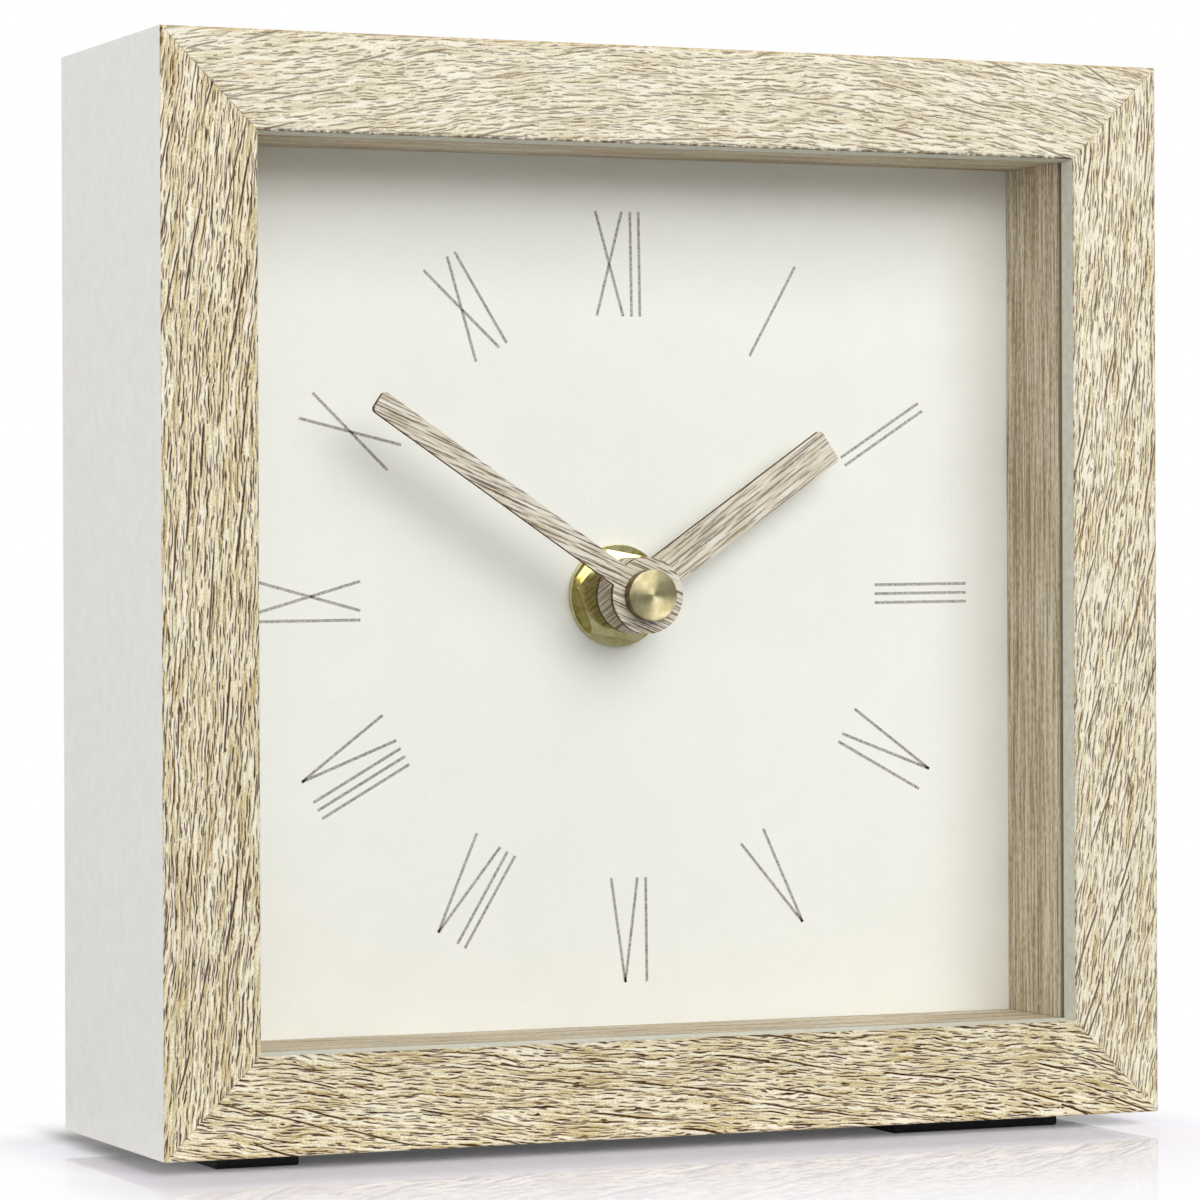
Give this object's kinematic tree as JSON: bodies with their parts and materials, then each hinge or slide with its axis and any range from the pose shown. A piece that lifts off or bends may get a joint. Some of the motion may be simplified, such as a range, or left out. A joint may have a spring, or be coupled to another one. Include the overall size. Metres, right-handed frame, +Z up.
{
  "type": "desk clock",
  "caption": "Square wooden desk clock with a deep mitred box case, recessed dial, two flat wooden hands and a battery movement behind the dial.",
  "frame": {"origin": "on the surface the clock stands on, below the middle of the case", "axes": "+Z up, the dial faces -Y, +X to the right as seen from the front"},
  "size_m": [0.15, 0.044, 0.152],
  "materials": {
    "limed_oak": "limed oak foil on the front, matt pale paint on the outer sides",
    "grey_wood": "bare grey-brown straight-grained wood",
    "dial_card": "ivory printed card",
    "fibre_board": "bare fibre board",
    "steel": "plain steel strip",
    "black_rubber": "black sheet rubber",
    "black_plastic": "moulded black plastic",
    "natural_plastic": "natural acetal",
    "circuit": "green circuit laminate",
    "epoxy": "black epoxy",
    "bright_metal": "plated steel",
    "magnet": "sintered magnet",
    "copper": "enamelled copper wire",
    "cell_jacket": "plain printed jacket",
    "brass": "polished brass",
    "veneer": "grey streaked veneer"
  },
  "bodies": {
    "case": {"rail_top": "limed_oak", "rail_bottom": "limed_oak", "rail_left": "limed_oak", "rail_right": "limed_oak", "slip_top": "grey_wood", "slip_bottom": "grey_wood", "slip_left": "grey_wood", "slip_right": "grey_wood", "dial_paper": "dial_card", "dial_board": "fibre_board", "corner_wedges": "steel", "board_points": "steel", "foot_front_left": "black_rubber", "foot_front_right": "black_rubber", "foot_rear_left": "black_rubber", "foot_rear_right": "black_rubber", "gasket": "black_rubber", "movement_base": "black_plastic", "movement_cover": "black_plastic", "middle_plate": "natural_plastic", "coil_bobbin": "natural_plastic", "circuit_board": "circuit", "chip_cap": "epoxy", "crystal": "bright_metal", "stator": "bright_metal", "coil_core": "bright_metal", "contact_plus": "bright_metal", "contact_minus": "bright_metal", "coil_winding": "copper", "flange_nut": "brass"},
    "minute_group": {"minute_arbor": "brass", "minute_hand": "veneer", "cap_nut": "brass"},
    "hour_group": {"hour_wheel": "natural_plastic", "hour_hand": "veneer"},
    "setting_group": {"minute_wheel": "natural_plastic", "setting_knob": "black_plastic"},
    "rotor_group": {"rotor_arbor": "natural_plastic", "rotor_magnet": "magnet"},
    "intermediate_group": {"intermediate_wheel": "natural_plastic"},
    "seconds_group": {"seconds_wheel": "natural_plastic"},
    "third_group": {"third_wheel": "natural_plastic"},
    "centre_group": {"centre_wheel": "natural_plastic"},
    "cell": {"battery": "cell_jacket"}
  },
  "joints": [
    {"name": "minute_turn", "type": "hinge", "parent": "case", "child": "minute_group", "pos_m": [-0.0012, 0, 0.0765], "axis": [0, 1, 0], "continuous": true},
    {"name": "hour_turn", "type": "hinge", "parent": "case", "child": "hour_group", "pos_m": [-0.0012, 0, 0.0765], "axis": [0, 1, 0], "continuous": true},
    {"name": "setting_turn", "type": "hinge", "parent": "case", "child": "setting_group", "pos_m": [0.00616, 0, 0.08267], "axis": [0, 1, 0], "continuous": true},
    {"name": "rotor_turn", "type": "hinge", "parent": "case", "child": "rotor_group", "pos_m": [0.00125, 0, 0.09043], "axis": [0, 1, 0], "continuous": true},
    {"name": "intermediate_turn", "type": "hinge", "parent": "case", "child": "intermediate_group", "pos_m": [-0.00175, 0, 0.08523], "axis": [0, 1, 0], "continuous": true},
    {"name": "seconds_turn", "type": "hinge", "parent": "case", "child": "seconds_group", "pos_m": [-0.0012, 0, 0.0765], "axis": [0, 1, 0], "continuous": true},
    {"name": "third_turn", "type": "hinge", "parent": "case", "child": "third_group", "pos_m": [-0.00961, 0, 0.07772], "axis": [0, 1, 0], "continuous": true},
    {"name": "centre_turn", "type": "hinge", "parent": "case", "child": "centre_group", "pos_m": [-0.0012, 0, 0.0765], "axis": [0, 1, 0], "continuous": true},
    {"name": "battery_slide", "type": "slide", "parent": "case", "child": "cell", "axis": [0, 1, 0], "range_m": [0, 0.03]}
  ],
  "couplings": [
    {"joint": "hour_turn", "follows": "minute_turn", "ratio": 0.083333},
    {"joint": "setting_turn", "follows": "minute_turn", "ratio": -0.33333},
    {"joint": "intermediate_turn", "follows": "rotor_turn", "ratio": -0.2},
    {"joint": "seconds_turn", "follows": "rotor_turn", "ratio": 0.033333},
    {"joint": "third_turn", "follows": "rotor_turn", "ratio": -0.0044444},
    {"joint": "centre_turn", "follows": "rotor_turn", "ratio": 0.00055556}
  ]
}
